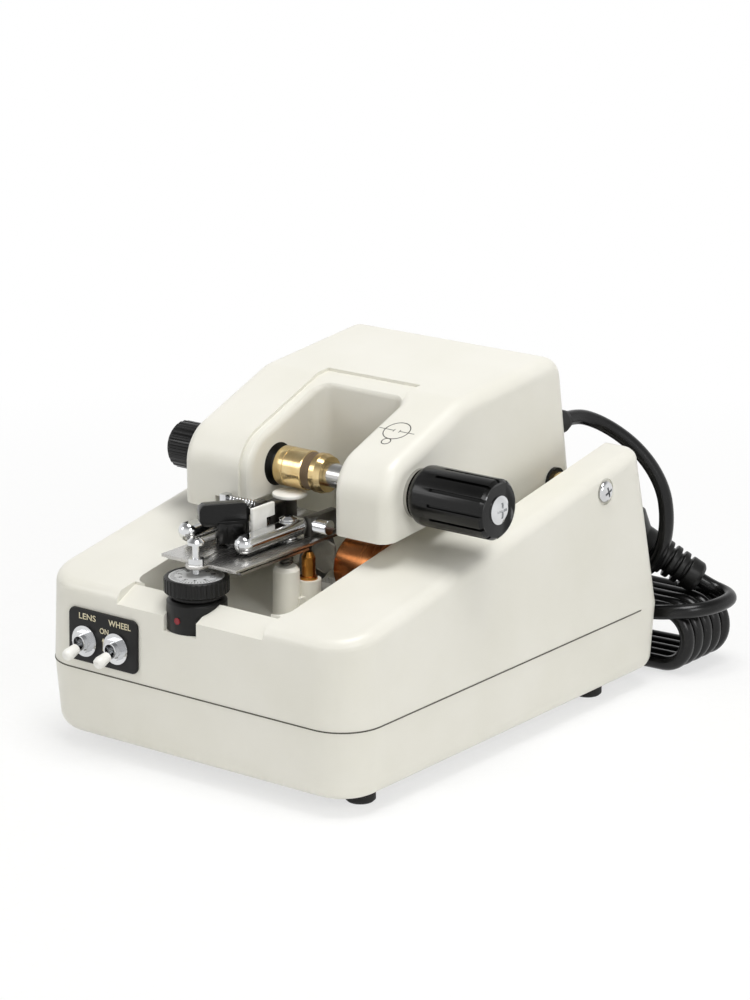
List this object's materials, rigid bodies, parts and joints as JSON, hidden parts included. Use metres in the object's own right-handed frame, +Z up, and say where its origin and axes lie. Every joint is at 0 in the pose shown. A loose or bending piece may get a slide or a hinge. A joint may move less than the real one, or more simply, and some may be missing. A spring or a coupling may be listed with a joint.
{
  "type": "lens groover",
  "caption": "Bench lens edge grooving machine with a cream two part housing, tilting clamp head, depth dial, guide plate with two arms, small grinding wheel and two toggle switches",
  "frame": {"origin": "middle of the footprint on the table, the two cords aside", "axes": "+X to the right from the operator, +Y to the rear, +Z up"},
  "size_m": [0.1766, 0.2682, 0.1447],
  "materials": {
    "abrasive": "diamond coated steel",
    "black_gloss": "black, semi gloss",
    "black_plastic": "black moulded plastic",
    "brass": "turned and polished",
    "chrome": "polished",
    "copper": "copper coloured can",
    "cream": "cream enamel, satin",
    "dark_steel": "blackened steel",
    "red_paint": "red enamel",
    "rubber": "black rubber",
    "steel": "brushed",
    "white_plastic": "white nylon"
  },
  "bodies": {
    "housing": {"base_glands": "rubber", "brass_column": "brass", "cord_hank": "rubber", "dial_holder": "black_plastic", "foot_screws": "steel", "hinge_bracket": "steel", "index_dot": "red_paint", "link_cable": "rubber", "lower_shell": "cream", "mains_cord": "rubber", "mains_plug": "black_plastic", "pivot_screws": "chrome", "plate_spring": "dark_steel", "plug_cord": "rubber", "rubber_feet": "rubber", "switch_bodies": "chrome", "switch_nuts": "chrome", "switch_plate": "dark_steel", "upper_shell": "cream", "wheel_motor": "copper"},
    "lens_toggle": {"lens_toggle": "chrome", "lens_toggle_sleeve": "white_plastic"},
    "wheel_toggle": {"wheel_toggle": "chrome", "wheel_toggle_sleeve": "white_plastic"},
    "dial_lift": {"dial_ring": "rubber"},
    "dial": {"depth_dial": "black_plastic", "dial_face": "white_plastic"},
    "plate": {"guide_plate": "steel", "plate_underlay": "steel", "adjust_screw": "chrome", "arm_screws": "chrome", "guide_carrier": "dark_steel", "nylon_guides": "white_plastic", "arm_spring": "chrome", "splash_guard": "white_plastic"},
    "left_arm": {"left_guide_arm": "chrome"},
    "right_arm": {"right_guide_arm": "chrome"},
    "knob": {"position_knob": "black_plastic"},
    "lock_screw": {"knurled_screw": "chrome"},
    "wheel": {"wheel_shaft": "steel", "grinding_wheel": "abrasive"},
    "head": {"head_shell": "cream", "head_cover": "cream", "brass_bushes": "brass", "pivot_washers": "rubber", "spindle_bushes": "black_plastic", "lens_motor": "steel", "knob_washer": "chrome", "head_grommet": "rubber"},
    "spindle": {"lens_spindle": "steel", "lens_chuck": "brass", "left_pad": "rubber", "left_knob": "black_gloss", "spindle_gear": "steel"},
    "pinion": {"motor_pinion": "steel"},
    "clamp": {"clamp_shaft": "chrome"},
    "cap": {"clamp_cap": "brass", "right_pad": "rubber"},
    "clamp_handle": {"clamp_knob": "black_gloss", "knob_screw": "chrome"}
  },
  "joints": [
    {"name": "head_tilt", "type": "hinge", "parent": "housing", "child": "head", "pos_m": [-0.0065, 0.07135, 0.0925], "axis": [-1, 0, 0], "range_deg": [0, 45], "deforming": ["link_cable"]},
    {"name": "lens_spin", "type": "hinge", "parent": "head", "child": "spindle", "pos_m": [-0.0054, -0.02055, 0.1089], "axis": [1, 0, 0], "continuous": true},
    {"name": "pinion_spin", "type": "hinge", "parent": "head", "child": "pinion", "pos_m": [-0.0505, -0.00402, 0.1119], "axis": [1, 0, 0], "continuous": true},
    {"name": "clamp_slide", "type": "slide", "parent": "head", "child": "clamp", "axis": [1, 0, 0], "range_m": [0, 0.014]},
    {"name": "clamp_turn", "type": "hinge", "parent": "clamp", "child": "clamp_handle", "pos_m": [0.0535, -0.02055, 0.1089], "axis": [1, 0, 0], "range_deg": [0, 1440]},
    {"name": "cap_spin", "type": "hinge", "parent": "clamp", "child": "cap", "pos_m": [-0.0015, -0.02055, 0.1089], "axis": [1, 0, 0], "continuous": true},
    {"name": "wheel_spin", "type": "hinge", "parent": "housing", "child": "wheel", "pos_m": [-0.0054, -0.02005, 0.074], "axis": [1, 0, 0], "continuous": true},
    {"name": "lens_toggle_flip", "type": "hinge", "parent": "housing", "child": "lens_toggle", "pos_m": [-0.0592, -0.09909, 0.04821], "axis": [-1, 0, 0], "range_deg": [0, 28]},
    {"name": "wheel_toggle_flip", "type": "hinge", "parent": "housing", "child": "wheel_toggle", "pos_m": [-0.0428, -0.09909, 0.04821], "axis": [-1, 0, 0], "range_deg": [0, 28]},
    {"name": "dial_rise", "type": "slide", "parent": "housing", "child": "dial_lift", "axis": [0, 0, 1], "range_m": [0, 0.0015]},
    {"name": "dial_turn", "type": "hinge", "parent": "dial_lift", "child": "dial", "pos_m": [-0.012, -0.08665, 0.077], "axis": [0, 0, 1], "range_deg": [0, 300]},
    {"name": "plate_tilt", "type": "hinge", "parent": "housing", "child": "plate", "pos_m": [-0.0131, -0.00255, 0.0821], "axis": [-1, 0, 0], "range_deg": [0, 1.02], "deforming": ["plate_spring"]},
    {"name": "right_arm_swing", "type": "hinge", "parent": "plate", "child": "right_arm", "pos_m": [-0.0054, -0.03805, 0.089], "axis": [0, 0, -1], "range_deg": [0, 4], "stiffness_Nm_per_rad": 0.2, "springref_deg": -1.15, "deforming": ["arm_spring"]},
    {"name": "left_arm_swing", "type": "hinge", "parent": "plate", "child": "left_arm", "pos_m": [-0.0205, -0.03605, 0.089], "axis": [0, 0, 1], "range_deg": [0, 4]},
    {"name": "position_turn", "type": "hinge", "parent": "plate", "child": "knob", "pos_m": [-0.019, -0.05655, 0.09], "axis": [0, 0, 1], "range_deg": [0, 60]},
    {"name": "lock_screw_turn", "type": "hinge", "parent": "plate", "child": "lock_screw", "pos_m": [0.0055, -0.02905, 0.09], "axis": [1, 0, 0], "range_deg": [0, 180]}
  ],
  "couplings": [
    {"joint": "pinion_spin", "follows": "lens_spin", "ratio": -2},
    {"joint": "cap_spin", "follows": "lens_spin", "ratio": 1},
    {"joint": "clamp_turn", "follows": "clamp_slide", "rad_per_m": 1795.2},
    {"joint": "dial_turn", "follows": "dial_rise", "rad_per_m": 3490.7},
    {"joint": "plate_tilt", "follows": "dial_rise", "rad_per_m": 11.891},
    {"joint": "left_arm_swing", "follows": "right_arm_swing", "ratio": 1}
  ]
}
